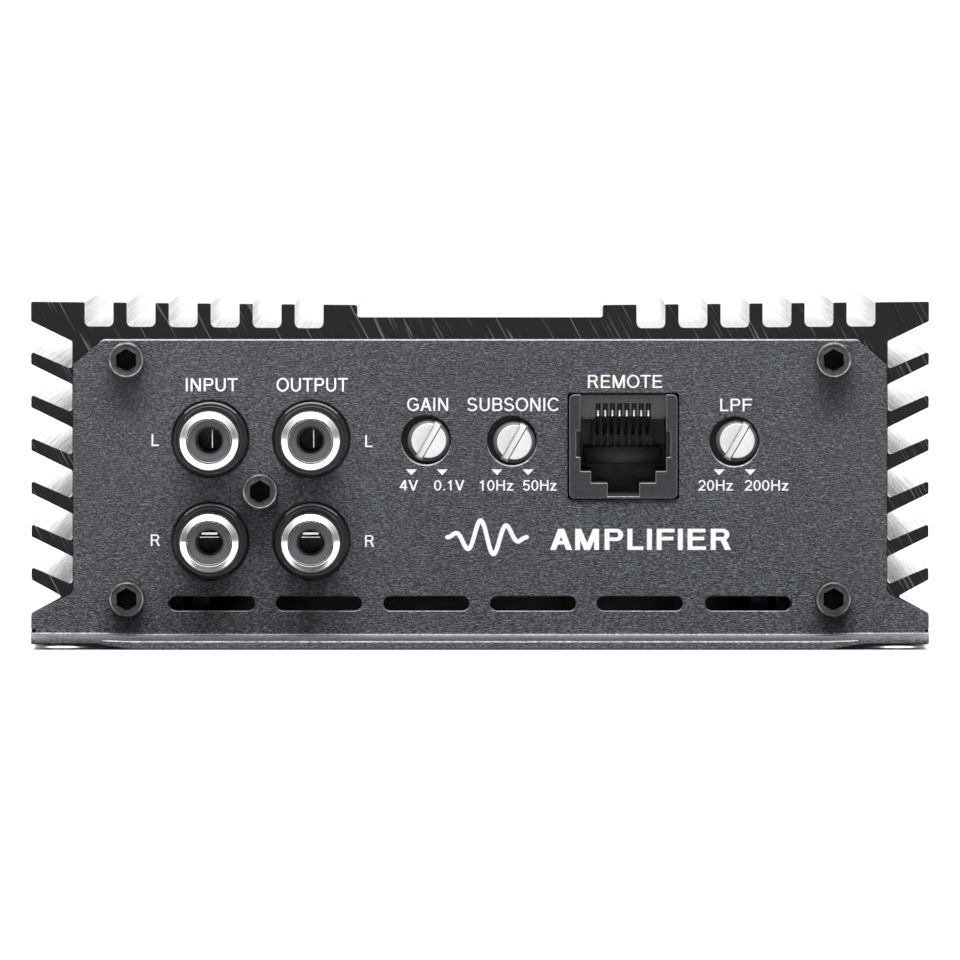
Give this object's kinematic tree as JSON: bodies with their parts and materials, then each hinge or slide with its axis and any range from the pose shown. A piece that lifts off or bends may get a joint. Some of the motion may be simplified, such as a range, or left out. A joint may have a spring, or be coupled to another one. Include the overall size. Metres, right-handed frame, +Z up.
{
  "type": "car audio amplifier",
  "caption": "Compact finned car audio amplifier with phono jacks, rotary controls and a modular remote socket on its bent front panel.",
  "frame": {"origin": "centre of the case in plan, on the plane the amplifier is mounted on", "axes": "+Z up from the mounting surface, -Y towards the control panel, +X to the right when facing the control panel"},
  "size_m": [0.127, 0.2304, 0.0484],
  "materials": {
    "black_anodised": "bead blasted black anodised",
    "charcoal_powder_coat": "fine wrinkle powder coat",
    "insulating_film": "satin",
    "black_screw": "black oxide",
    "black_plastic": "satin moulded",
    "nickel": "polished nickel plate",
    "grey_insulator": "satin moulded",
    "contact_metal": "gold flashed",
    "pot_plastic": "satin moulded",
    "white_shaft": "satin moulded",
    "jack_plastic": "satin moulded",
    "circuit_board": "solder mask",
    "steel": "zinc plated",
    "ferrite": "coated ferrite",
    "iron_powder": "painted iron powder",
    "enamelled_copper": "enamelled wire",
    "can_sleeve": "shrink sleeve",
    "rubber": "matt",
    "thermal_pad": "matt",
    "fuse_plastic": "translucent moulded",
    "lamp_lens": "clear diffused"
  },
  "bodies": {
    "chassis": {"heatsink": "black_anodised", "front_panel": "charcoal_powder_coat", "rear_panel": "charcoal_powder_coat", "bottom_plate": "charcoal_powder_coat", "insulating_sheet": "insulating_film", "front_panel_screws": "black_screw", "jack_block_screw": "black_screw", "rear_panel_screws": "black_screw", "bottom_plate_screws": "black_screw", "rca_housing": "black_plastic", "input_left_shell": "nickel", "input_right_shell": "nickel", "output_left_shell": "nickel", "output_right_shell": "nickel", "rca_insulators": "grey_insulator", "rca_center_contacts": "contact_metal", "gain_pot_body": "pot_plastic", "subsonic_pot_body": "pot_plastic", "lowpass_pot_body": "pot_plastic", "pot_terminals": "steel", "remote_jack_housing": "jack_plastic", "remote_jack_contacts": "contact_metal", "main_board": "circuit_board", "control_board": "circuit_board", "board_header": "black_plastic", "board_standoffs": "black_plastic", "board_screws": "steel", "transformer_core": "ferrite", "transformer_windings": "enamelled_copper", "output_inductor_core": "iron_powder", "output_inductor_winding": "enamelled_copper", "input_choke_core": "iron_powder", "input_choke_winding": "enamelled_copper", "capacitor_cans": "can_sleeve", "capacitor_seals": "rubber", "supply_transistors": "black_plastic", "supply_transistor_leads": "steel", "output_transistors": "black_plastic", "output_transistor_leads": "steel", "thermal_pads": "thermal_pad", "left_clamp_bar": "steel", "right_clamp_bar": "steel", "clamp_screws": "steel", "control_chips": "black_plastic", "power_terminal_housing": "black_plastic", "power_terminal_blocks": "contact_metal", "power_terminal_screws": "steel", "speaker_terminal_housing": "black_plastic", "speaker_terminal_blocks": "contact_metal", "speaker_terminal_screws": "steel", "fuse_holder": "black_plastic", "fuse_bodies": "fuse_plastic", "fuse_blades": "steel", "fuse_clips": "contact_metal", "status_lamps": "lamp_lens"},
    "gain_control": {"gain_pot_shaft": "white_shaft"},
    "subsonic_control": {"subsonic_pot_shaft": "white_shaft"},
    "lowpass_control": {"lowpass_pot_shaft": "white_shaft"}
  },
  "joints": [
    {"name": "gain_turn", "type": "hinge", "parent": "chassis", "child": "gain_control", "pos_m": [-0.00724, -0.1, 0.02875], "axis": [0, 1, 0], "range_deg": [0, 300]},
    {"name": "subsonic_turn", "type": "hinge", "parent": "chassis", "child": "subsonic_control", "pos_m": [0.00486, -0.1, 0.02852], "axis": [0, 1, 0], "range_deg": [0, 300]},
    {"name": "lowpass_turn", "type": "hinge", "parent": "chassis", "child": "lowpass_control", "pos_m": [0.03636, -0.1, 0.02872], "axis": [0, 1, 0], "range_deg": [0, 300]}
  ]
}
